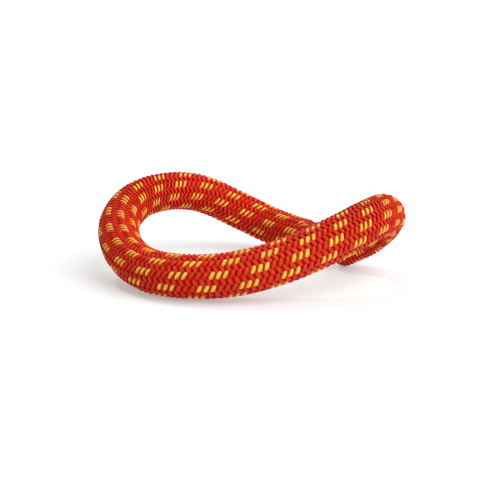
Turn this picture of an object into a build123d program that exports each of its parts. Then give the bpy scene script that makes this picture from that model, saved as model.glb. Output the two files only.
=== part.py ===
"""Short sample of kernmantle dynamic climbing rope, laid on a flat surface in a crossed loop.

Millimetres, +Z up, +X to the right, the low front run of the loop towards -Y.
Origin: on the surface (Z = 0), under the middle of the lay's bounding box.
The rope is open: end A is tucked under the right-hand bend, end B lies just behind it,
and both are behind the front run.
"""
import math
import os

from build123d import *

os.makedirs("parts", exist_ok=True)

# ---- rope section ----------------------------------------------------------
ROPE_D = 10.5            # outside diameter over the braided sheath
SHEATH_WALL = 1.2        # two yarns deep
CORE_D = ROPE_D - 2 * SHEATH_WALL    # bore of the sheath, filled by the core
STRAND_D = 1.66          # one core strand (three plies twisted together)
INNER_STRANDS = 5        # strands round the middle
OUTER_STRANDS = 11       # strands against the sheath, with one slot left free
STRAND_GAP = 0.03        # room between neighbours, so that no two strands cut each other
SHEATH_GAP = 0.02        # room between the outer strands and the sheath
TAPE_W = 1.1             # flat marker tape, lying in the free slot under the sheath
TAPE_T = 0.2
TAPE_AT = 3.80           # its distance from the middle of the rope
TRACER_D = 0.8           # coloured tracer yarn, under the tape
TRACER_AT = 3.10

# ---- fused ends ------------------------------------------------------------
END_LEN = 3.0            # sheath and core melted into one plug at each cut end
END_ROUND = 2.4          # rounding of the melted rim
END_DIMPLE = 0.35        # the plug's face sinks a little in the middle
END_FACE_D = 3.6         # diameter of the sunken part

# ---- lay of the rope: corners of the centreline, end A to end B ------------
CENTRE_X = 2.5           # middle of the lay's box, so that the origin is under it
CENTRE_Y = 27.5
CORNERS = [
    (24.2, 33.8, 4.25),      # end A, tipped down on to the surface
    (31.0, 32.5, 6.8),
    (36.0, 27.5, 12.6),      # right-hand bend, standing clear of the surface
    (35.6, 18.0, 17.2),
    (30.5, 9.5, 16.9),
    (22.5, 4.5, 13.8),       # front run coming down to the left
    (11.0, 0.5, 9.3),
    (-1.5, -1.0, 6.1),
    (-13.5, 1.0, 5.25),      # resting on the surface
    (-23.0, 8.0, 5.25),
    (-29.4, 19.0, 8.1),      # left-hand loop, climbing towards the back
    (-31.6, 31.5, 12.9),
    (-26.0, 43.0, 17.7),
    (-12.5, 52.0, 17.7),
    (0.5, 56.5, 10.5),       # back run coming down
    (12.5, 52.5, 5.25),      # resting on the surface again
    (19.5, 42.0, 5.25),      # end B
]
CORNERS = [Vector(x - CENTRE_X, y - CENTRE_Y, z) for x, y, z in CORNERS]
ARC_SHARE = 0.45         # share of the shorter run that an arc may use


def corner_radii(points):
    """Arc radius at every inner corner, from the shorter run and the turn there."""
    radii = []
    for a, b, c in zip(points, points[1:], points[2:]):
        shorter = min((b - a).length, (c - b).length)
        turn = (b - a).get_angle(c - b)
        radii.append(ARC_SHARE * shorter / math.tan(math.radians(turn) / 2))
    return radii


RADII = corner_radii(CORNERS)
print("arc radii:", " ".join(f"{r:.1f}" for r in RADII))
print("runs:", " ".join(f"{(b - a).length:.1f}" for a, b in zip(CORNERS, CORNERS[1:])))

# the plugs take the first and last END_LEN of the line
DIR_A = (CORNERS[1] - CORNERS[0]).normalized()
DIR_B = (CORNERS[-1] - CORNERS[-2]).normalized()
FROM = CORNERS[0] + DIR_A * END_LEN
TO = CORNERS[-1] - DIR_B * END_LEN
WHOLE = FilletPolyline(*CORNERS, radius=RADII)
LINE = FilletPolyline(FROM, *CORNERS[1:-1], TO, radius=RADII)
print(f"rope length {WHOLE.length:.1f} mm, of which {LINE.length:.1f} mm between the plugs")

START = Plane(origin=FROM, x_dir=Vector(0, 0, 1).cross(DIR_A), z_dir=DIR_A)


def along(section, name):
    """Sweep one section, drawn in the start plane, along the whole line."""
    solid = sweep(START * section, path=LINE)
    want = section.area * LINE.length
    print(f"{name}: volume {solid.volume:.1f}, section x length {want:.1f}")
    solid.label = name
    return solid


def polar(radius, degrees):
    return (radius * math.cos(math.radians(degrees)), radius * math.sin(math.radians(degrees)))


parts = {}

# sheath: the braided jacket as one hollow tube
parts["sheath"] = along(Circle(ROPE_D / 2) - Circle(CORE_D / 2), "sheath")

# core strands: a ring round the middle and a ring against the sheath
inner_ring = (STRAND_D + STRAND_GAP) / 2 / math.sin(math.pi / INNER_STRANDS)
outer_ring = CORE_D / 2 - SHEATH_GAP - STRAND_D / 2
outer_step = 2 * math.degrees(math.asin((STRAND_D + STRAND_GAP) / 2 / outer_ring))
spots = [polar(inner_ring, 90 + 360 / INNER_STRANDS * i) for i in range(INNER_STRANDS)]
first = 90 + (360 - outer_step * (OUTER_STRANDS - 1)) / 2      # the slot is centred on 90 deg
spots += [polar(outer_ring, first + outer_step * i) for i in range(OUTER_STRANDS)]
for i, spot in enumerate(spots, 1):
    name = f"core_strand_{i:02d}"
    parts[name] = along(Pos(*spot) * Circle(STRAND_D / 2), name)

# marker tape and tracer yarn, in the free slot of the outer ring
parts["marker_tape"] = along(Pos(0, TAPE_AT) * Rectangle(TAPE_W, TAPE_T), "marker_tape")
parts["tracer_yarn"] = along(Pos(0, TRACER_AT) * Circle(TRACER_D / 2), "tracer_yarn")


def plug(at, outward):
    """A fused end: a rounded plug on the rope's own diameter, face at `at`."""
    inner_face = Plane(origin=at - outward * END_LEN, z_dir=outward)
    body = extrude(Circle(ROPE_D / 2), END_LEN)
    rim = body.edges().group_by(Axis.Z)[-1]
    body = fillet(rim, END_ROUND)
    dish_r = (END_FACE_D ** 2 / 4 + END_DIMPLE ** 2) / (2 * END_DIMPLE)
    body -= Pos(0, 0, END_LEN - END_DIMPLE + dish_r) * Sphere(dish_r)
    return inner_face * body


parts["sealed_end_a"] = plug(CORNERS[0], DIR_A * -1)
parts["sealed_end_b"] = plug(CORNERS[-1], DIR_B)

low = [1e9] * 3
high = [-1e9] * 3
for name, shape in parts.items():
    solid = shape.solids()[0]
    assert len(shape.solids()) == 1, name
    solid.label = name
    export_step(solid, f"parts/{name}.step")
    box = solid.bounding_box()
    low = [min(a, b) for a, b in zip(low, box.min)]
    high = [max(a, b) for a, b in zip(high, box.max)]
    if name in ("sheath", "sealed_end_a", "sealed_end_b"):
        print(f"{name}: lowest {box.min.Z:.3f}")
print("box", [round(v, 2) for v in low], [round(v, 2) for v in high])
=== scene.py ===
import math

import bpy
import numpy as np
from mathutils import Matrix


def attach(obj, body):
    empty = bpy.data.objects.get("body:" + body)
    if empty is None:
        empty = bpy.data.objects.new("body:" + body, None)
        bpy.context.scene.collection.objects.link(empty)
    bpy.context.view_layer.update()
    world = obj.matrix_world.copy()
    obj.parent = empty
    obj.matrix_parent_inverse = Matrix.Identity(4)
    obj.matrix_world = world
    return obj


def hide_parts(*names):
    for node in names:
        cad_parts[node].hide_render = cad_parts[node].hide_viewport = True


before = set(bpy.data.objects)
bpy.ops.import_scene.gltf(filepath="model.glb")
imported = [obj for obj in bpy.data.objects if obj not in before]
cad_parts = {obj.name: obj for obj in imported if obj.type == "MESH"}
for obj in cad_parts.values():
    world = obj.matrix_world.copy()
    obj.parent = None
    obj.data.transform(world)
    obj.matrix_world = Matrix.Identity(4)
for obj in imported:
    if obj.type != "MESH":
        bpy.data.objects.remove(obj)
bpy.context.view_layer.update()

MM = 0.001
BODY = "root"
RNG = np.random.default_rng(7)      # tones of the yarns and plies

# ---- the rope's line: the corners of the CAD model's line ------------------------------------
CENTRE_X = 0.0025
CENTRE_Y = 0.0275
CORNERS = [
    (0.0242, 0.0338, 0.00425),      # end A, tipped down on to the surface
    (0.0310, 0.0325, 0.0068),
    (0.0360, 0.0275, 0.0126),       # right-hand bend, standing clear of the surface
    (0.0356, 0.0180, 0.0172),
    (0.0305, 0.0095, 0.0169),
    (0.0225, 0.0045, 0.0138),       # front run coming down to the left
    (0.0110, 0.0005, 0.0093),
    (-0.0015, -0.0010, 0.0061),
    (-0.0135, 0.0010, 0.00525),     # resting on the surface
    (-0.0230, 0.0080, 0.00525),
    (-0.0294, 0.0190, 0.0081),      # left-hand loop, climbing towards the back
    (-0.0316, 0.0315, 0.0129),
    (-0.0260, 0.0430, 0.0177),
    (-0.0125, 0.0520, 0.0177),
    (0.0005, 0.0565, 0.0105),       # back run coming down
    (0.0125, 0.0525, 0.00525),      # resting on the surface again
    (0.0195, 0.0420, 0.00525),      # end B
]
ROPE_D = 0.0105
ROPE_R = ROPE_D / 2
LINE_STEPS = 48                     # points read from the spline between two knots

# ---- braid: how it is laid -------------------------------------------------------------------
FIRST_SET = -1                      # the two sets of yarns, by the way they turn round the rope
SECOND_SET = 1
YARNS = 18                          # in each set, so 9 columns of floats of each lean
YARN_STEP = 2 * math.pi / YARNS
COLUMN_STEP = 2 * YARN_STEP         # two yarns over, two yarns under
COLOUR_RUN = 3                      # three yellow yarns, then three red, in the first set
COLUMN_ANGLE = math.radians(11)     # the first column of the first set, at ALIGN_AT
ALIGN_AT = 0.0624
ALIGN_TURN = math.radians(9)
TURN_STEPS = 2000                   # steps in the table of the yarns' turn
START_ANGLE = {FIRST_SET: 0.0, SECOND_SET: 2 * (COLUMN_ANGLE - YARN_STEP / 4)}     # first yarn

# how the braid changes along the rope: distance from end A in mm, and the value there
PITCH = [(0, 18), (30, 14.5), (44, 22.5), (56, 27.5), (72, 25.8), (88, 24.4),
         (110, 22), (135, 22.3), (150, 24), (160, 28.5), (192, 30)]      # mm for one turn of a yarn
DRIFT = [(20, -6), (50, -4), (65, 0), (90, 4.5), (105, 3), (130, -1),
         (150, -4.5), (170, -12), (192, -14)]                           # degrees the columns turn
SQUEEZE = [(0, 0.10), (30, 0.17), (85, 0.17), (110, 0), (192, 0)]       # columns drawn together
SQUEEZE_SIDE = math.radians(16)     # on the outer side of the front run
FILL = [(0, 0.70), (20, 0.66), (34, 0.72), (44, 0.90), (66, 0.92), (80, 0.82), (94, 0.72),
        (104, 0.66), (150, 0.70), (192, 0.76)]                          # a float's share of its room

# ---- braid: the shape of a yarn --------------------------------------------------------------
FLOAT_THICK = 0.00074               # a yarn is full where it floats on top
UNDER_THICK = 0.00048               # and pressed flat where it passes under two others
UNDER_WIDTH = 0.64                  # width under the neighbours, as a share of the float's width
MOST_THICK = 0.95                   # thickness never exceeds this share of the width
LEAST_ROOM = 0.00070                # yarns are pressed no closer than this inside a bend
FLOAT_RISE = 0.00032                # how far a yarn's middle goes up and down from its mean
FLOAT_FLATNESS = 0.5                # the float is flatter on top than a cosine
FLOAT_LEAN = {FIRST_SET: 0.0074, SECOND_SET: 0.0108}    # sway along the rope, as a share of the pitch
FLOAT_BIAS = {FIRST_SET: 0.16, SECOND_SET: -0.16}       # the first set covers the second set's tips
FLOAT_FILL = {FIRST_SET: 1.03, SECOND_SET: 0.96}        # the second set's floats are a little narrower
BRAID_MEAN_R = ROPE_R - FLOAT_THICK / 2 - FLOAT_RISE
RINGS_PER_COLUMN = 14
YARN_SIDES = 16
YARN_PLIES = 3
YARN_TWIST = 0.125                  # turns of the plies in a millimetre of yarn
YARN_GROOVE = 0.10                  # depth of the groove between two plies, as a share of the radius
YARN_TONE = 0.10                    # how much the tone varies from yarn to yarn
FLOAT_TONE = 0.09                   # and from float to float
# the crown value drives the painted shade of the under-passes, which is gone before the very top of a
# float
CROWN_GAIN = 1.25                   # the crown's colour is full before the very top
TIP_TAPER = (0.02, 0.75)            # the last two rings of a tube, as shares of its section

# ---- fused ends ------------------------------------------------------------------------------
END_ROUND = 0.0024
END_MELT = 0.0030                   # the yarns melt together over this length
YARN_END = 0.00055                  # where the yarns sink into the melted face
SLOPE_END = 0.0002                  # nearer the face than this the slope grows no steeper
MELT_FLATTEN = 0.75                 # how much of their rise the yarns lose in the melt
MELT_LIFT = 0.4                     # and how far they come up in it, as a share of the rise
MELT_THIN = 0.3                     # and how much of their thickness goes
CAP_SIDES = 72
CAP_SINK = 0.00030                  # the melted skin lies this far under the yarns' tops
CAP_DEPTH = 0.0024                  # length of the melted skin along the side
CAP_DIVE = 0.00040                  # and how far it has dived under the yarns by then
CAP_SIDE_RINGS = 14
CAP_FACE_RINGS = 20
CAP_MIDDLE = 0.03                   # the innermost ring, as a share of the face
CAP_DIMPLE = 0.00030
CAP_RIM = 0.62                      # where the face begins: 1 is down the side, 0 the middle
LUMPS = 9
LUMP_WAVES = (2, 9)                 # fewest lumps round the end, and the number they stay below
LUMP_HEIGHT = (0.00003, 0.00008)
LUMP_SPREAD = 0.25                  # how far one lump reaches, on the scale of CAP_RIM
LUMP_FADE = 0.0008                  # lumps fade out within this distance of the middle

# ---- lining, core, tape and tracer -----------------------------------------------------------
LINING_R = 0.00452
LINING_SIDES = 36
LINING_RINGS = 380
LINING_INSET = 0.0006               # it stops this far inside the ends of the line
LINING_RIPPLE = 0.006               # height of a ripple, as a share of the radius
LINING_RIPPLES = 9                  # ripples round the rope
CORE_R = 0.00405                    # bore of the sheath
CORE_INSET = END_MELT * 0.6         # core, tape and tracer stop inside the melted ends
SHEATH_GAP = 0.00002
STRAND_D = 0.00166                  # one cord of the core
STRAND_GAP = 0.00003
INNER_STRANDS = 5
OUTER_STRANDS = 11
STRAND_PLIES = 3
STRAND_SPIN_R = STRAND_D / 4        # the plies turn on this radius
STRAND_PITCH = 0.0085
STRAND_RINGS = 240
PLY_SIDES = 8
PLY_TONE = (0.3, 0.7)
TAPE_AT = 0.0038                    # distance of the tape from the rope's line
TAPE_W = 0.0011
TAPE_T = 0.0002
TAPE_SIDES = 12
TAPE_RINGS = 420
TAPE_SQUARENESS = 0.35              # 1 would be an ellipse, 0 a rectangle
TAPE_SWAYS = ((1.5, 0.004), (1.0, 0.0017))      # degrees, and the length of each sway over 2 pi
TAPE_RIPPLE = (0.00003, 0.0011)     # height, and the length of a ripple over 2 pi
TRACER_AT = 0.0031
TRACER_PLIES = 2
TRACER_PLY_R = 0.00021
TRACER_SPIN_R = 0.00019
TRACER_PITCH = 0.004
TRACER_RINGS = 420


# ---- line and frame along it -----------------------------------------------------------------
def spline_points(controls):
    """Points along one open NURBS spline with those control points."""
    curve = bpy.data.curves.new("rope_line", "CURVE")
    curve.dimensions = "3D"
    spline = curve.splines.new("NURBS")
    spline.points.add(len(controls) - 1)
    for point, control in zip(spline.points, controls):
        point.co = (*control, 1)
    spline.order_u = 3
    spline.use_endpoint_u = True
    spline.resolution_u = LINE_STEPS
    holder = bpy.data.objects.new("rope_line", curve)
    mesh = bpy.data.meshes.new_from_object(holder)
    points = np.array([tuple(v.co) for v in mesh.vertices])
    bpy.data.objects.remove(holder)
    bpy.data.curves.remove(curve)
    bpy.data.meshes.remove(mesh)
    return points


def unit(vectors):
    """The same vectors, one unit long."""
    return vectors / np.linalg.norm(vectors, axis=-1, keepdims=True)


def upright(vectors, along):
    """Unit vectors square to along, as near as possible to the given ones."""
    return unit(vectors - along * np.sum(vectors * along, axis=-1, keepdims=True))


def towards(side, up, angle):
    """Unit vectors out from the line, at an angle from side to up."""
    return side * np.cos(angle)[..., None] + up * np.sin(angle)[..., None]


class Line:
    """The centreline with a frame (side, up) carried along it without twisting."""

    def __init__(self, points):
        self.points = points
        steps = np.linalg.norm(np.diff(points, axis=0), axis=1)
        self.s = np.concatenate([[0], np.cumsum(steps)])
        self.length = self.s[-1]
        self.tangents = unit(np.gradient(points, self.s, axis=0))
        side = unit(np.cross((0, 0, 1), self.tangents[0]))
        sides = [side]
        for tangent in self.tangents[1:]:
            side = unit(side - tangent * np.dot(side, tangent))
            sides.append(side)
        self.sides = np.array(sides)

    def read(self, values, s):
        """Vectors stored at the line's points, read at the distances s."""
        return np.stack([np.interp(s, self.s, values[:, k]) for k in range(3)], axis=-1)

    def at(self, s):
        """Point, tangent, side and up at each distance s; past the ends it runs on straight."""
        inside = np.clip(s, 0, self.length)
        tangent = unit(self.read(self.tangents, inside))
        side = upright(self.read(self.sides, inside), tangent)
        up = np.cross(tangent, side)
        point = self.read(self.points, inside) + tangent * (s - inside)[..., None]
        return point, tangent, side, up


corners = [(x - CENTRE_X, y - CENTRE_Y, z) for x, y, z in CORNERS]
line = Line(spline_points(corners))
print(f"rope line {line.length * 1000:.1f} mm")


def keyed(table, s):
    """Value of a listed table (mm, value) at the distances s in metres."""
    at, values = zip(*table)
    return np.interp(s / MM, at, values)


def smooth_step(x):
    """0 below 0, 1 above 1 and an even ease between."""
    x = np.clip(x, 0, 1)
    return x * x * (3 - 2 * x)


def braid_turns():
    """Distances along the rope, and how far a yarn has turned round it at each."""
    s = np.linspace(0, line.length, TURN_STEPS)
    rate = 2 * math.pi / (keyed(PITCH, s) * MM)
    turns = np.concatenate([[0], np.cumsum((rate[1:] + rate[:-1]) / 2 * np.diff(s))])
    turns += ALIGN_TURN - np.interp(ALIGN_AT, s, turns)
    return s, turns


turned_s, turned = braid_turns()


def end_distance(s):
    """Distance to the nearer end of the rope."""
    return np.minimum(s, line.length - s)


def round_drop(depth):
    """How far the rounded end has drawn the surface in, at that depth from its face."""
    return END_ROUND - np.sqrt(np.maximum(END_ROUND ** 2 - (END_ROUND - depth) ** 2, 0))


def end_drop(s):
    """How far the rounded ends have drawn the surface in at s."""
    return round_drop(np.clip(end_distance(s), 0, END_ROUND))


def drop_slope(s):
    """How steeply the rounded end falls away, towards the nearer end."""
    depth = np.clip(end_distance(s), SLOPE_END, END_ROUND)
    return (END_ROUND - depth) / np.sqrt(END_ROUND ** 2 - (END_ROUND - depth) ** 2)


def end_melt(s):
    """1 where the yarns are melted flat together, 0 along the free rope."""
    return smooth_step(1 - (end_distance(s) - YARN_END) / (END_MELT - YARN_END))


# ---- mesh building ---------------------------------------------------------------------------
class Mesh:
    """Collects closed tubes as numpy arrays and turns them into one Blender object."""

    def __init__(self):
        self.verts = []
        self.faces = []
        self.uvs = []
        self.values = {}
        self.count = 0

    def grid(self, points, u, v, **values):
        """A skin of quads through points (rings, sides, 3), closed at its first and last ring."""
        rings, sides = points.shape[:2]
        index = np.arange(rings * sides).reshape(rings, sides) + self.count
        across = np.arange(sides)
        following = (across + 1) % sides
        quads = np.stack([index[:-1][:, across], index[:-1][:, following],
                          index[1:][:, following], index[1:][:, across]], axis=-1)
        u_high = np.append(u, 1.0)[1:]
        uv = np.zeros(quads.shape + (2,))
        uv[..., 0] = np.stack([u, u_high, u_high, u], axis=-1)
        uv[..., 1] = np.stack([v[:-1], v[:-1], v[1:], v[1:]], axis=-1)[:, None, :]
        self.verts.append(points.reshape(-1, 3))
        self.faces.append(quads.reshape(-1, 4))
        self.uvs.append(uv.reshape(-1, 2))
        for name, value in values.items():
            spread = np.broadcast_to(value, (rings, sides)).reshape(-1)
            self.values.setdefault(name, []).append(spread)
        self.close(self.count, sides, True)
        self.close(self.count + (rings - 1) * sides, sides, False)
        self.count += rings * sides

    def close(self, start, sides, backwards):
        """Close the ring of vertices that begins at start with a strip of quads across it."""
        ring = start + np.arange(sides)
        if backwards:
            ring = ring[::-1]
        k = np.arange(sides // 2 - 1)
        strip = np.stack([ring[k], ring[k + 1], ring[sides - 2 - k], ring[sides - 1 - k]], axis=-1)
        self.faces.append(strip)
        self.uvs.append(np.zeros((strip.size, 2)))

    def tube(self, centre, across, out, half_width, half_height, sides, v, power=1.0, swell=1.0,
             **values):
        """A closed tube of elliptical section whose two ends are drawn to a point.

        across x out points along the tube; swell scales the section, ring by ring and side by side.
        """
        angle = -math.pi / 2 + 2 * math.pi * np.arange(sides) / sides
        x = np.sign(np.cos(angle)) * np.abs(np.cos(angle)) ** power
        y = np.sign(np.sin(angle)) * np.abs(np.sin(angle)) ** power
        taper = np.ones(len(centre))
        taper[:2] = TIP_TAPER
        taper[-2:] = TIP_TAPER[::-1]
        points = (centre[:, None]
                  + across[:, None] * ((half_width * taper)[:, None] * x * swell)[..., None]
                  + out[:, None] * ((half_height * taper)[:, None] * y * swell)[..., None])
        columns = {key: value[:, None] for key, value in values.items()}
        self.grid(points, np.arange(sides) / sides, v, **columns)

    def build(self, name, material, replaces):
        mesh = bpy.data.meshes.new(name)
        verts = np.concatenate(self.verts)
        faces = np.concatenate(self.faces)
        mesh.vertices.add(len(verts))
        mesh.vertices.foreach_set("co", verts.astype(np.float32).ravel())
        mesh.loops.add(faces.size)
        mesh.loops.foreach_set("vertex_index", faces.astype(np.int32).ravel())
        mesh.polygons.add(len(faces))
        mesh.polygons.foreach_set("loop_start", np.arange(0, faces.size, 4, dtype=np.int32))
        mesh.update(calc_edges=True)
        uv_layer = mesh.uv_layers.new(name="yarn")
        uv_layer.data.foreach_set("uv", np.concatenate(self.uvs).astype(np.float32).ravel())
        for key, parts in self.values.items():
            attribute = mesh.attributes.new(key, "FLOAT", "POINT")
            attribute.data.foreach_set("value", np.concatenate(parts).astype(np.float32))
        mesh.polygons.foreach_set("use_smooth", np.ones(len(faces), dtype=bool))
        mesh.validate()
        mesh.materials.append(material)
        piece = bpy.data.objects.new(name, mesh)
        bpy.context.scene.collection.objects.link(piece)
        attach(piece, BODY)
        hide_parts(*replaces)
        return piece


# ---- materials -------------------------------------------------------------------------------
TONE_SHIFT = 37.0                   # noise cells between two yarns whose tones are 1 apart
FIBRE_CELLS = (34.0, 0.9)           # noise cells round a yarn, and in a millimetre of it
BUNDLE_CELLS = (9.0, 0.45)
CORE_CELLS = (16.0, 1.0)
TRACER_CELLS = (12.0, 1.0)

# the deep colours are the yarns' darker tones and also the painted shade where a yarn dives under its
# neighbours and down its flanks; the yellow one is reddened as painted red light thrown back from the
# red yarns
RED_DEEP_AND_SHADE = (0.54, 0.003, 0.0005)
RED = (0.52, 0.012, 0.003)
# the bright colours are the lighter fibre tones and also the painted highlight along the top of each
# yarn
RED_BRIGHT_AND_HIGHLIGHT = (0.66, 0.062, 0.024)
RED_MELTED = (0.25, 0.004, 0.002)
RED_GLINT = (1.0, 0.42, 0.22)
YELLOW_DEEP_AND_SHADE = (0.55, 0.040, 0.002)
YELLOW = (0.80, 0.32, 0.010)
YELLOW_BRIGHT_AND_HIGHLIGHT = (0.96, 0.64, 0.16)
YELLOW_MELTED = (0.48, 0.10, 0.008)
YELLOW_GLINT = (1.0, 0.80, 0.50)
LINING_RED = ((0.60, 0.003, 0.0004), (0.72, 0.005, 0.001))
CORE_WHITE = ((0.70, 0.68, 0.62), (0.90, 0.89, 0.85))
TAPE_WHITE = ((0.80, 0.78, 0.72), (0.92, 0.91, 0.87))
TRACER_BLUE = ((0.05, 0.10, 0.33), (0.13, 0.22, 0.60))
MELTED_CORE = (0.50, 0.40, 0.30)
MELTED_EDGE = (0.36, 0.10, 0.05)
MELTED_SHEATH = ((0.34, 0.016, 0.006), (0.40, 0.010, 0.003))
FLOOR_WHITE = ((0.575, 0.60, 0.60), (0.595, 0.62, 0.62))
FLOOR_GLOW = (0.97, 1, 1)


class Shader:
    """A material with one Principled BSDF and short calls for the nodes in front of it."""

    def __init__(self, name, **settings):
        self.material = bpy.data.materials.new(name)
        self.material.use_nodes = True
        self.nodes = self.material.node_tree.nodes
        self.links = self.material.node_tree.links
        self.surface = self.nodes["Principled BSDF"]
        for socket, value in settings.items():
            self.surface.inputs[socket.replace("_", " ")].default_value = value

    def drive(self, **outputs):
        """Link outputs to the surface's own sockets."""
        for socket, output in outputs.items():
            self.link(output, self.surface.inputs[socket.replace("_", " ")])

    def node(self, kind, **settings):
        """A new node with those properties."""
        made = self.nodes.new(kind)
        for key, value in settings.items():
            setattr(made, key, value)
        return made

    def link(self, output, target):
        """Join an output to an input."""
        self.links.new(output, target)

    def attribute(self, name):
        """A value stored on the mesh."""
        return self.node("ShaderNodeAttribute", attribute_name=name).outputs["Fac"]

    def math(self, operation, a, b=0.0):
        """A sum on two numbers or outputs."""
        made = self.node("ShaderNodeMath", operation=operation)
        for socket, value in zip(made.inputs, (a, b)):
            if isinstance(value, (int, float)):
                socket.default_value = value
            else:
                self.link(value, socket)
        return made.outputs[0]

    def noise(self, scale, detail=3.0, vector=None, roughness=0.5):
        """Noise in the piece's own space, or at another vector."""
        made = self.node("ShaderNodeTexNoise")
        made.inputs["Scale"].default_value = scale
        made.inputs["Detail"].default_value = detail
        made.inputs["Roughness"].default_value = roughness
        if vector is None:
            vector = self.node("ShaderNodeTexCoord").outputs["Object"]
        self.link(vector, made.inputs["Vector"])
        return made.outputs["Fac"]

    def yarn_place(self):
        """Where on a yarn: 0 to 1 round it from its bottom, and millimetres along it."""
        coordinates = self.node("ShaderNodeUVMap", uv_map="yarn").outputs["UV"]
        split = self.node("ShaderNodeSeparateXYZ")
        self.link(coordinates, split.inputs[0])
        return split.outputs[0], split.outputs[1]

    def stretched(self, cells, tone, twist=0.0):
        """Coordinates for noise that runs along a yarn's fibres, with cells as in FIBRE_CELLS."""
        around, along = self.yarn_place()
        turned_around = self.math("ADD", around, self.math("MULTIPLY", along, twist))
        join = self.node("ShaderNodeCombineXYZ")
        self.link(self.math("MULTIPLY", turned_around, cells[0]), join.inputs[0])
        self.link(self.math("MULTIPLY", along, cells[1]), join.inputs[1])
        self.link(self.math("MULTIPLY", tone, TONE_SHIFT), join.inputs[2])
        return join.outputs[0]

    def side(self):
        """0 along the top of a yarn, 1 along its bottom."""
        middle = self.math("SUBTRACT", self.yarn_place()[0], 0.5)
        return self.math("MULTIPLY", self.math("ABSOLUTE", middle), 2.0)

    def ramp(self, factor, stops):
        """A colour ramp with stops (position, colour)."""
        made = self.node("ShaderNodeValToRGB")
        elements = made.color_ramp.elements
        while len(elements) < len(stops):
            elements.new(0.5)
        for element, (position, colour) in zip(elements, stops):
            element.position = position
            element.color = (*colour, 1)
        self.link(factor, made.inputs[0])
        return made.outputs[0]

    def between(self, factor, pair, low=0.3):
        """A ramp from one colour of the pair to the other, evenly about the middle."""
        return self.ramp(factor, [(low, pair[0]), (1 - low, pair[1])])

    def mix(self, factor, a, b):
        """Colour a where the factor is 0, b where it is 1."""
        made = self.node("ShaderNodeMix", data_type="RGBA")
        for socket, value in ((made.inputs[0], factor), (made.inputs[6], a), (made.inputs[7], b)):
            if isinstance(value, tuple):
                socket.default_value = (*value, 1)
            else:
                self.link(value, socket)
        return made.outputs[2]

    def scaled(self, factor, low, high, start=0.0, stop=1.0):
        """A factor from start to stop turned into a value from low to high."""
        made = self.node("ShaderNodeMapRange")
        made.inputs["From Min"].default_value = start
        made.inputs["From Max"].default_value = stop
        made.inputs["To Min"].default_value = low
        made.inputs["To Max"].default_value = high
        self.link(factor, made.inputs["Value"])
        return made.outputs[0]

    def bump(self, height, distance, strength=1.0, before=None):
        """Relief from a height, on top of another relief if there is one before it."""
        made = self.node("ShaderNodeBump")
        made.inputs["Distance"].default_value = distance
        made.inputs["Strength"].default_value = strength
        self.link(height, made.inputs["Height"])
        if before is not None:
            self.link(before, made.inputs["Normal"])
        return made.outputs[0]


def braid_material(name, deep_and_shade, main, bright, melted, glint):
    """Dyed nylon yarn: fine filaments along it, painted shade where it dives under its neighbours and
    down its flanks, and a painted highlight along its top.
    """
    shader = Shader(name, Roughness=0.5, Sheen_Weight=0.06, Sheen_Roughness=0.5, IOR=1.40,
                    Specular_IOR_Level=0.22, Specular_Tint=(*glint, 1), Sheen_Tint=(*glint, 1))
    tone = shader.attribute("tone")
    fibres = shader.noise(1.0, 2.0, shader.stretched(FIBRE_CELLS, tone, YARN_TWIST), 0.6)
    bundles = shader.noise(1.0, 1.0, shader.stretched(BUNDLE_CELLS, tone, YARN_TWIST))
    shade = shader.math("ADD", shader.math("MULTIPLY", fibres, 0.5),
                        shader.math("MULTIPLY", tone, 0.5))
    side = shader.side()
    # painted highlight: the top of each yarn is mixed towards the bright colour
    painted_ridge_highlight = shader.scaled(side, 0.70, 0.0, stop=0.22)
    # painted shade: mixed towards the deep colour where the yarn dives under its neighbours, and down
    # its flanks
    painted_underpass_shade = shader.scaled(shader.attribute("crown"), 0.95, 0.0)
    painted_flank_shade = shader.scaled(side, 0.0, 0.9, 0.12, 0.46)
    melt = shader.attribute("melt")
    colour = shader.ramp(shade, [(0.2, deep_and_shade), (0.5, main), (0.85, bright)])
    colour = shader.mix(painted_ridge_highlight, colour, bright)
    colour = shader.mix(painted_underpass_shade, colour, deep_and_shade)
    colour = shader.mix(painted_flank_shade, colour, deep_and_shade)
    colour = shader.mix(shader.math("MULTIPLY", melt, 0.8), colour, melted)
    rough = shader.math("SUBTRACT", shader.scaled(fibres, 0.36, 0.56),
                        shader.math("MULTIPLY", melt, 0.2))
    relief = shader.bump(fibres, 0.00012, 0.9)
    relief = shader.bump(bundles, 0.00010, 0.5, relief)
    shader.drive(Base_Color=colour, Roughness=rough, Normal=relief)
    return shader.material


def lining_material():
    """The pressed inner faces of the yarns, which show only in the gaps."""
    shader = Shader("sheath_lining", Roughness=0.8, Specular_IOR_Level=0.2)
    patches = shader.noise(900.0, 2.0)
    shader.drive(Base_Color=shader.between(patches, LINING_RED),
                 Normal=shader.bump(patches, 0.0001, 0.5))
    return shader.material


def core_material():
    """Undyed twisted nylon: warm white, finely ridged."""
    shader = Shader("core_nylon", Roughness=0.6, Sheen_Weight=0.2, Sheen_Roughness=0.5)
    tone = shader.attribute("tone")
    fibres = shader.noise(1.0, 2.0, shader.stretched(CORE_CELLS, tone), 0.6)
    shade = shader.math("ADD", shader.math("MULTIPLY", fibres, 0.6),
                        shader.math("MULTIPLY", tone, 0.4))
    shader.drive(Base_Color=shader.between(shade, CORE_WHITE, 0.25),
                 Roughness=shader.scaled(fibres, 0.5, 0.75),
                 Normal=shader.bump(fibres, 0.00005, 0.6))
    return shader.material


def tape_material():
    """Thin plain marker film, slightly cloudy."""
    shader = Shader("marker_film", Roughness=0.35, Specular_IOR_Level=0.5)
    cloud = shader.noise(700.0, 3.0)
    shader.drive(Base_Color=shader.between(cloud, TAPE_WHITE),
                 Roughness=shader.scaled(cloud, 0.28, 0.45),
                 Normal=shader.bump(cloud, 0.00004, 0.5))
    return shader.material


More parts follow.
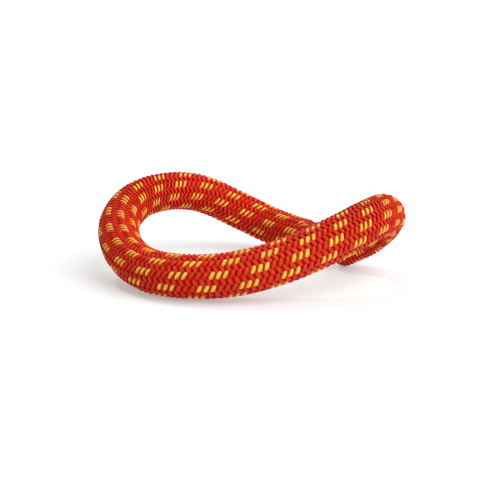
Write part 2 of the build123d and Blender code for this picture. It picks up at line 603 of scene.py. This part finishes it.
def tracer_material():
    """Blue tracer yarn, two plies."""
    shader = Shader("tracer_nylon", Roughness=0.55, Sheen_Weight=0.2, Sheen_Roughness=0.5)
    place = shader.stretched(TRACER_CELLS, shader.attribute("tone"))
    fibres = shader.noise(1.0, 2.0, place, 0.6)
    shader.drive(Base_Color=shader.between(fibres, TRACER_BLUE),
                 Roughness=shader.scaled(fibres, 0.45, 0.7),
                 Normal=shader.bump(fibres, 0.00005, 0.6))
    return shader.material


def cap_material():
    """Melted end: dark glossy red at the rim, dull cream in the middle where the core melted."""
    shader = Shader("fused_nylon", Roughness=0.5, Specular_IOR_Level=0.12,
                    Specular_Tint=(*RED_GLINT, 1))
    lumps = shader.noise(900.0, 4.0)
    uneven = shader.math("MULTIPLY", shader.math("SUBTRACT", lumps, 0.5), 0.7)
    edge = shader.math("ADD", shader.attribute("rim"), uneven)
    colour = shader.ramp(edge, [(0.24, MELTED_CORE), (0.38, MELTED_EDGE),
                                (0.48, MELTED_SHEATH[0]), (0.95, MELTED_SHEATH[1])])
    shader.drive(Base_Color=colour, Roughness=shader.scaled(lumps, 0.22, 0.5),
                 Normal=shader.bump(lumps, 0.0002, 0.6))
    return shader.material


# ---- braid -----------------------------------------------------------------------------------
def float_shape(wave):
    """-1 where a yarn passes under, 1 on top, a little squarer than the wave itself."""
    return np.tanh(FLOAT_FLATNESS * wave) / math.tanh(FLOAT_FLATNESS)


def yarn_path(first_angle, way):
    """One yarn of a set, as arrays along it."""
    rings = int((turned[-1] - turned[0]) / COLUMN_STEP * RINGS_PER_COLUMN)
    turn = np.linspace(turned[0], turned[-1], rings)
    s = np.interp(turn, turned, turned_s)
    column = 2 * math.pi / COLUMN_STEP * (first_angle + way * turn - COLUMN_ANGLE)
    s = s + FLOAT_LEAN[way] * keyed(PITCH, s) * MM * np.sin(column)
    keep = end_distance(s) >= YARN_END
    turn, s, column = turn[keep], s[keep], column[keep]
    angle = first_angle + way * turn + np.radians(keyed(DRIFT, s))
    angle = angle - keyed(SQUEEZE, s) * np.sin(angle - SQUEEZE_SIDE)
    wave = -way * np.cos(column)
    melt = end_melt(s)
    biased = wave + FLOAT_BIAS[way] * (1 - wave ** 2)
    rise = FLOAT_RISE * float_shape(biased) * (1 - MELT_FLATTEN * melt)
    radius = BRAID_MEAN_R + rise - end_drop(s) + MELT_LIFT * FLOAT_RISE * melt
    point, tangent, side, up = line.at(s)
    out = towards(side, up, angle)
    centre = point + out * radius[:, None]
    direction = unit(np.gradient(centre, axis=0))
    slope = np.where(s < line.length / 2, -1, 1) * drop_slope(s)
    normal = upright(unit(out + tangent * slope[:, None]), direction)
    across = np.cross(normal, direction)
    # the room for a float is the distance to the next yarn, read at each crown
    point, _, side, up = line.at(s + keyed(PITCH, s) * MM / YARNS)
    neighbour = point + towards(side, up, angle) * radius[:, None]
    room = np.abs(np.sum((neighbour - centre) * across, axis=1))
    crowns = np.flatnonzero((wave[1:-1] >= wave[:-2]) & (wave[1:-1] > wave[2:])) + 1
    room = np.maximum(np.interp(s, s[crowns], room[crowns]), LEAST_ROOM)
    return s, centre, across, normal, room, wave, melt


def add_yarn(mesh, first_angle, way):
    """One yarn: wide and full where it floats, narrow and flat where it dives, grooved by its plies."""
    s, centre, across, normal, room, wave, melt = yarn_path(first_angle, way)
    crown = (float_shape(wave) + 1) / 2
    above = np.clip(wave, 0, 1)
    oval = UNDER_WIDTH + (1 - UNDER_WIDTH) * above * (2 - above)
    width = room * keyed(FILL, s) * FLOAT_FILL[way] * (oval + (1 - oval) * melt)
    thick = UNDER_THICK + (FLOAT_THICK - UNDER_THICK) * smooth_step(crown)
    thick = np.minimum(thick, MOST_THICK * width) * (1 - MELT_THIN * melt)
    length = np.concatenate([[0], np.cumsum(np.linalg.norm(np.diff(centre, axis=0), axis=1))])
    lowest = (wave[1:-1] < wave[:-2]) & (wave[1:-1] <= wave[2:])
    floats = np.concatenate([[0], np.cumsum(lowest), [lowest.sum()]])
    tone = RNG.normal(0.5, YARN_TONE) + RNG.normal(0, FLOAT_TONE, floats.max() + 1)[floats]
    turns = np.arange(YARN_SIDES) / YARN_SIDES + YARN_TWIST * length[:, None] / MM
    groove = YARN_GROOVE * (1 - np.abs(np.cos(math.pi * YARN_PLIES * turns)))
    # crown is stored for the material's painted shade where the yarn dives under its neighbours
    mesh.tube(centre, across, normal, width / 2, thick / 2, YARN_SIDES, length / MM,
              swell=1 - groove * (1 - melt)[:, None], tone=np.clip(tone, 0, 1),
              crown=smooth_step(crown * CROWN_GAIN), melt=melt)


def braid_group(name, first, way, material):
    """Three neighbouring yarns of one set and one colour, as one piece."""
    mesh = Mesh()
    for i in range(first, first + COLOUR_RUN):
        add_yarn(mesh, i * YARN_STEP + START_ANGLE[way], way)
    return mesh.build(name, material, ["sheath"])


def build_braid():
    """The first set in alternating yellow and red groups, then the second set, all red."""
    red = braid_material("red_yarn", RED_DEEP_AND_SHADE, RED, RED_BRIGHT_AND_HIGHLIGHT, RED_MELTED, RED_GLINT)
    yellow = braid_material("yellow_yarn", YELLOW_DEEP_AND_SHADE, YELLOW, YELLOW_BRIGHT_AND_HIGHLIGHT, YELLOW_MELTED,
                            YELLOW_GLINT)
    groups = []
    for i in range(YARNS // (2 * COLOUR_RUN)):
        first = i * 2 * COLOUR_RUN
        groups.append(braid_group(f"yarns_s_yellow_{i + 1}", first, FIRST_SET, yellow))
        groups.append(braid_group(f"yarns_s_red_{i + 1}", first + COLOUR_RUN, FIRST_SET, red))
    for i in range(YARNS // COLOUR_RUN):
        groups.append(braid_group(f"yarns_z_red_{i + 1}", i * COLOUR_RUN, SECOND_SET, red))
    return groups


# ---- sheath lining ---------------------------------------------------------------------------
def build_lining():
    """The sheath's inner face: a tube just under the yarns, closed at both ends."""
    s = np.linspace(LINING_INSET, line.length - LINING_INSET, LINING_RINGS)
    angle = 2 * math.pi * np.arange(LINING_SIDES) / LINING_SIDES
    point, _, side, up = line.at(s)
    radius = LINING_R - end_drop(s)
    ripple = 1 + LINING_RIPPLE * np.sin(LINING_RIPPLES * angle[None, :] + s[:, None] / MM)
    out = towards(side[:, None], up[:, None], angle)
    points = point[:, None] + out * (radius[:, None] * ripple)[..., None]
    mesh = Mesh()
    mesh.grid(points, np.arange(LINING_SIDES) / LINING_SIDES, s / MM)
    return mesh.build("sheath_lining", lining_material(), ["sheath"])


# ---- core ------------------------------------------------------------------------------------
def add_spun_cord(mesh, radius_at, angle_at, plies, ply_r, spin_r, pitch, hand, rings):
    """A twisted cord that keeps one place in the rope's section."""
    s = np.linspace(CORE_INSET, line.length - CORE_INSET, rings)
    point, _, side, up = line.at(s)
    x = radius_at * math.cos(angle_at)
    y = radius_at * math.sin(angle_at)
    for ply in range(plies):
        spin = hand * 2 * math.pi * s / pitch + 2 * math.pi * ply / plies
        centre = (point + side * (x + spin_r * np.cos(spin))[:, None]
                  + up * (y + spin_r * np.sin(spin))[:, None])
        direction = unit(np.gradient(centre, axis=0))
        normal = upright(towards(side, up, spin), direction)
        across = np.cross(normal, direction)
        half = np.full(rings, ply_r)
        tone = np.full(rings, RNG.uniform(*PLY_TONE))
        mesh.tube(centre, across, normal, half, half, PLY_SIDES, s / MM, tone=tone)


def build_core():
    """An inner and an outer ring of cords, with one slot left free in the outer ring."""
    material = core_material()
    inner_r = (STRAND_D + STRAND_GAP) / 2 / math.sin(math.pi / INNER_STRANDS)
    outer_r = CORE_R - SHEATH_GAP - STRAND_D / 2
    outer_step = 2 * math.asin((STRAND_D + STRAND_GAP) / 2 / outer_r)
    first = math.pi / 2 + (2 * math.pi - outer_step * (OUTER_STRANDS - 1)) / 2
    spots = [(inner_r, math.pi / 2 + 2 * math.pi / INNER_STRANDS * i) for i in range(INNER_STRANDS)]
    spots += [(outer_r, first + outer_step * i) for i in range(OUTER_STRANDS)]
    for i, (radius, angle) in enumerate(spots, 1):
        hand = 1 if i % 2 else -1
        mesh = Mesh()
        add_spun_cord(mesh, radius, angle, STRAND_PLIES, STRAND_D / 2 - STRAND_SPIN_R,
                      STRAND_SPIN_R, STRAND_PITCH, hand, STRAND_RINGS)
        mesh.build(f"core_cord_{i:02d}", material, [f"core_strand_{i:02d}"])


def build_tape():
    """Marker tape: a thin film in the free slot under the sheath, gently rippled."""
    s = np.linspace(CORE_INSET, line.length - CORE_INSET, TAPE_RINGS)
    point, _, side, up = line.at(s)
    sway = np.radians(sum(degrees * np.sin(s / length) for degrees, length in TAPE_SWAYS))
    height, length = TAPE_RIPPLE
    across = towards(side, up, sway)
    out = up * np.cos(sway)[:, None] - side * np.sin(sway)[:, None]
    centre = point + out * (TAPE_AT + height * np.sin(s / length))[:, None]
    mesh = Mesh()
    mesh.tube(centre, across, out, np.full(len(s), TAPE_W / 2), np.full(len(s), TAPE_T / 2),
              TAPE_SIDES, s / MM, power=TAPE_SQUARENESS)
    mesh.build("marker_film_strip", tape_material(), ["marker_tape"])


def build_tracer():
    """Tracer yarn: two fine plies beside the tape."""
    mesh = Mesh()
    add_spun_cord(mesh, TRACER_AT, math.pi / 2, TRACER_PLIES, TRACER_PLY_R, TRACER_SPIN_R,
                  TRACER_PITCH, -1, TRACER_RINGS)
    mesh.build("tracer_thread", tracer_material(), ["tracer_yarn"])


# ---- fused ends ------------------------------------------------------------------------------
def cap_lumps(rim, angle, seed):
    """Heights of a few low lumps, each a wave round the end that is strongest at one place."""
    rng = np.random.default_rng(seed)
    lumps = np.zeros((len(rim), len(angle)))
    for _ in range(LUMPS):
        waves = rng.integers(*LUMP_WAVES)
        phase = rng.uniform(0, 2 * math.pi)
        place = rng.uniform(0, 1)
        lumps += (rng.uniform(*LUMP_HEIGHT) * np.sin(waves * angle + phase)[None, :]
                  * np.exp(-((rim - place) / LUMP_SPREAD) ** 2)[:, None])
    return lumps


def build_cap(name, node, at_start, material, seed):
    """Melted skin over a cut end: rounded rim, lumpy face that sinks in the middle."""
    side_depth = np.linspace(CAP_DEPTH, 0, CAP_SIDE_RINGS)
    face = np.linspace(1, CAP_MIDDLE, CAP_FACE_RINGS)[1:]
    depth = np.concatenate([side_depth, np.zeros(len(face))])
    rim = np.concatenate([np.linspace(1, CAP_RIM, CAP_SIDE_RINGS), CAP_RIM * face])
    sink = np.concatenate([np.zeros(CAP_SIDE_RINGS), CAP_DIMPLE * (1 - face ** 2)])
    side_r = (ROPE_R - CAP_SINK - round_drop(np.minimum(side_depth, END_ROUND))
              - CAP_DIVE * (side_depth / CAP_DEPTH) ** 3)
    radius = np.concatenate([side_r, (ROPE_R - CAP_SINK - END_ROUND) * face])
    angle = 2 * math.pi * np.arange(CAP_SIDES) / CAP_SIDES
    lumps = cap_lumps(rim, angle, seed) * np.minimum(1, radius / LUMP_FADE)[:, None]
    s = (depth + sink) if at_start else line.length - depth - sink
    point, tangent, side, up = line.at(s)
    outward = tangent * (-1 if at_start else 1)
    out = towards(side[:, None], up[:, None], angle)
    # lumps stand out sideways down the side and endways on the face
    endways = np.clip(1 - depth / END_ROUND, 0, 1)[:, None]
    points = (point[:, None] + out * (radius[:, None] + lumps * (1 - endways))[..., None]
              + outward[:, None] * (lumps * endways)[..., None])
    if at_start:
        points = points[:, ::-1]    # so that the faces look outward at this end too
    mesh = Mesh()
    mesh.grid(points, np.arange(CAP_SIDES) / CAP_SIDES, depth / MM, rim=rim[:, None])
    return mesh.build(name, material, [node])


braid = build_braid()
lining = build_lining()
build_core()
build_tape()
build_tracer()
fused_nylon = cap_material()
cap_a = build_cap("fused_face_a", "sealed_end_a", True, fused_nylon, 11)
cap_b = build_cap("fused_face_b", "sealed_end_b", False, fused_nylon, 12)


# ---- floor, light and camera -----------------------------------------------------------------
def build_floor():
    """A plain pale floor that reaches the horizon."""
    half = 40.0
    drop = 0.00003                  # just under the surface that the rope rests on
    shader = Shader("pale_floor", Roughness=0.9, Specular_IOR_Level=0.1,
                    Emission_Color=(*FLOOR_GLOW, 1), Emission_Strength=0.33)
    shader.drive(Base_Color=shader.between(shader.noise(4.0, 2.0), FLOOR_WHITE))
    outline = ((-half, -half), (half, -half), (half, half), (-half, half))
    mesh = bpy.data.meshes.new("floor")
    mesh.from_pydata([(x, y, -drop) for x, y in outline], [], [(0, 1, 2, 3)])
    mesh.materials.append(shader.material)
    floor = bpy.data.objects.new("floor", mesh)
    bpy.context.scene.collection.objects.link(floor)


def place_sun(name, place, energy, degrees):
    """A sun at that place, that many degrees wide, turned towards the rope."""
    light = bpy.data.lights.new(name, "SUN")
    light.energy = energy
    light.angle = math.radians(degrees)
    holder = bpy.data.objects.new(name, light)
    holder.location = place
    yaw = math.atan2(place[0], -place[1])
    pitch = math.atan2(math.hypot(place[0], place[1]), place[2])
    holder.rotation_euler = (pitch, 0, yaw)
    bpy.context.scene.collection.objects.link(holder)


def build_world():
    """A room that is dim on the left and bright on the right, with a white backdrop behind."""
    world = bpy.data.worlds.new("studio")
    world.use_nodes = True
    nodes = world.node_tree.nodes
    links = world.node_tree.links
    split = nodes.new("ShaderNodeSeparateXYZ")
    links.new(nodes.new("ShaderNodeTexCoord").outputs["Generated"], split.inputs[0])
    brighter = nodes.new("ShaderNodeMath")
    brighter.operation = "MAXIMUM"
    spans = (("X", -0.6, 0.6, 0.28, 1.20), ("Y", 0.70, 0.92, 0.0, 1.05))
    for socket, (axis, start, stop, low, high) in zip(brighter.inputs, spans):
        span = nodes.new("ShaderNodeMapRange")
        span.inputs["From Min"].default_value = start
        span.inputs["From Max"].default_value = stop
        span.inputs["To Min"].default_value = low
        span.inputs["To Max"].default_value = high
        links.new(split.outputs[axis], span.inputs["Value"])
        links.new(span.outputs[0], socket)
    links.new(brighter.outputs[0], nodes["Background"].inputs["Strength"])
    nodes["Background"].inputs["Color"].default_value = (1, 1, 1, 1)
    bpy.context.scene.world = world


def place_camera():
    """The photograph's view: level, and looking down a little."""
    data = bpy.data.cameras.new("camera")
    data.sensor_width = 36
    data.lens = 75
    data.clip_start = 0.01
    camera = bpy.data.objects.new("camera", data)
    camera.location = (-0.0025, -0.249, 0.0613)
    camera.rotation_euler = (math.radians(78), 0, 0)
    bpy.context.scene.collection.objects.link(camera)
    bpy.context.scene.camera = camera


build_floor()
place_sun("key", (0.74, -0.46, 0.74), 2.1, 66)
place_sun("back_left", (-0.52, 0.46, 1.0), 0.62, 7)
build_world()
place_camera()
bpy.context.scene.view_settings.view_transform = "Standard"
